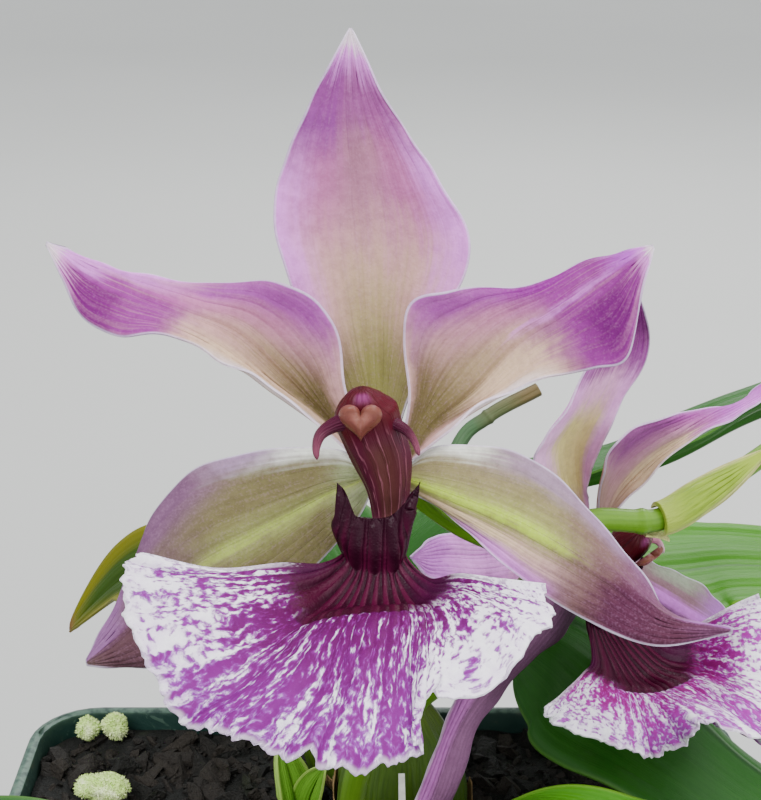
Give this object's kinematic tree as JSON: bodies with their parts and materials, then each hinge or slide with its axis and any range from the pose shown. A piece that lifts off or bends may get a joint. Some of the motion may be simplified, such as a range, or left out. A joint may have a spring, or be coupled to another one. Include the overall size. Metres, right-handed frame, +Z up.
{
  "type": "potted orchid",
  "caption": "Zygonisia orchid in flower in a square nursery pot: pseudobulbs, arching pleated leaves and a bent flower stem with purple blooms that have broad frilled lips",
  "frame": {"origin": "the middle of the pot's underside", "axes": "+Z up, +X to the right and -Y toward the side that the blooms face"},
  "size_m": [0.2897, 0.2688, 0.227],
  "materials": {
    "pot_plastic": "dark teal green moulded plastic, satin",
    "bark_mix": "damp dark bark chips, rough",
    "moss_lump": "pale lump grown over with yellow-green moss, rough",
    "label_plastic": "blank white plastic",
    "rhizome_skin": "green-brown ringed skin",
    "bulb_skin": "smooth green ribbed skin, waxy",
    "leaf_blade": "deep green pleated blade, satin",
    "leaf_bright": "bright green pleated blade, satin",
    "leaf_old": "ageing olive-yellow blade, dull",
    "young_leaf": "fresh green short blades",
    "old_spike": "dull green stem with a dry brown end",
    "stem_skin": "smooth green skin, waxy",
    "bract": "pale yellow-green papery scale",
    "bud": "pale green with a purple flush",
    "sepal": "lilac with a cream middle, velvety",
    "petal": "purple with a cream base, velvety",
    "lateral_sepal": "cream and olive with mauve edges, velvety",
    "lip": "white with dense violet streaks and spots",
    "column": "maroon with pale stripes, waxy",
    "anther_cap": "pink-tan, waxy"
  },
  "bodies": {
    "root": {"pot": "pot_plastic", "potting_mix": "bark_mix", "pumice_back": "moss_lump", "pumice_corner": "moss_lump", "pumice_large": "moss_lump", "pumice_front": "moss_lump", "plant_label": "label_plastic", "rhizome": "rhizome_skin", "pseudobulb_lead": "bulb_skin", "pseudobulb_back": "bulb_skin", "pseudobulb_second": "bulb_skin", "pseudobulb_third": "bulb_skin", "pseudobulb_old": "bulb_skin", "leaf_right_broad": "leaf_blade", "leaf_right_bright": "leaf_bright", "leaf_right_rising": "leaf_blade", "leaf_left_old": "leaf_old", "leaf_back_left": "leaf_blade", "leaf_back_right": "leaf_blade", "leaf_front": "leaf_blade", "leaf_front_left": "leaf_blade", "leaf_right_low": "leaf_bright", "leaf_left_low": "leaf_blade", "young_shoot": "young_leaf", "old_flower_spike": "old_spike", "flower_stem": "stem_skin", "bract_sheath": "bract", "bract_small": "bract", "bud_upper": "bud", "bud_lower": "bud", "bloom_front_dorsal_sepal": "sepal", "bloom_front_petal_left": "petal", "bloom_front_petal_right": "petal", "bloom_front_lateral_sepal_left": "lateral_sepal", "bloom_front_lateral_sepal_right": "lateral_sepal", "bloom_front_lip": "lip", "bloom_front_column": "column", "bloom_front_anther_cap": "anther_cap", "bloom_side_dorsal_sepal": "sepal", "bloom_side_petal_left": "petal", "bloom_side_petal_right": "petal", "bloom_side_lateral_sepal_left": "lateral_sepal", "bloom_side_lateral_sepal_right": "lateral_sepal", "bloom_side_lip": "lip", "bloom_side_column": "column", "bloom_side_anther_cap": "anther_cap"}
  },
  "joints": []
}
